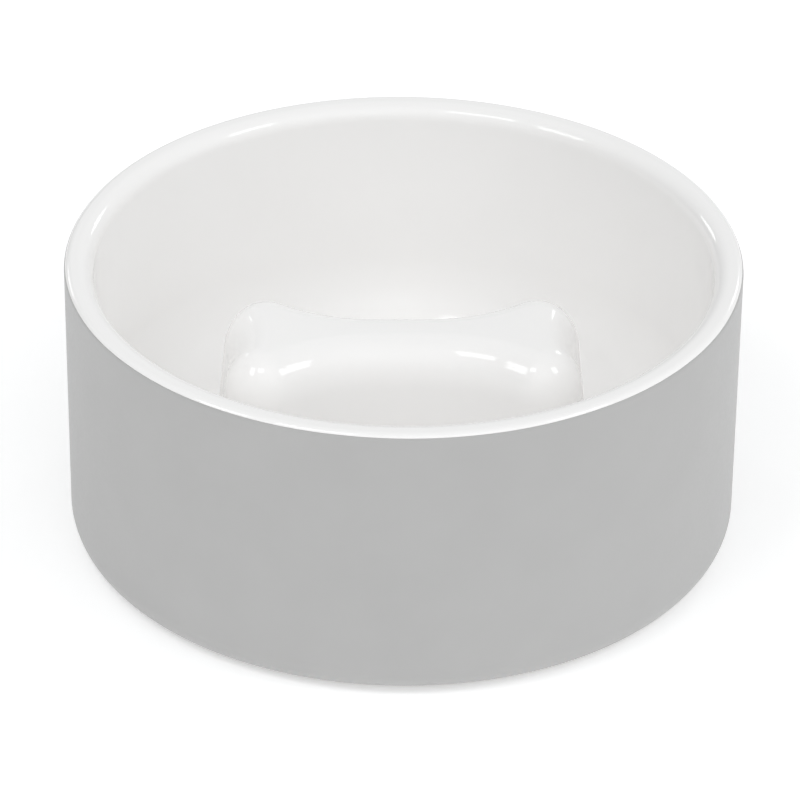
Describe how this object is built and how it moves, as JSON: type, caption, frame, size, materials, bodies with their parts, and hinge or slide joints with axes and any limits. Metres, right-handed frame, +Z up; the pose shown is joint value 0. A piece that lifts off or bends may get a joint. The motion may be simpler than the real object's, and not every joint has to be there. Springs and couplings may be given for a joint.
{
  "type": "slow feeder bowl",
  "caption": "Round stoneware pet bowl with upright walls, a satin grey outside and a glossy white inside, and a tall bone-shaped island on its floor that slows eating.",
  "frame": {"origin": "on the table plane, at the centre of the foot ring", "axes": "+Z up through the bowl's mouth, +X along the bone island, +Y across it"},
  "size_m": [0.2, 0.1998, 0.0894],
  "materials": {
    "stoneware": "unglazed, fine matte fired clay",
    "slip": "unglazed, smoothed by hand",
    "white_glaze": "glossy, slightly uneven",
    "grey_glaze": "satin, fine grain",
    "base_glaze": "thin gloss"
  },
  "bodies": {
    "root": {"bowl_body": "stoneware", "bone_island": "stoneware", "slip_joint": "slip", "lining_glaze": "white_glaze", "island_glaze": "white_glaze", "outer_glaze": "grey_glaze", "base_glaze": "base_glaze"}
  },
  "joints": []
}
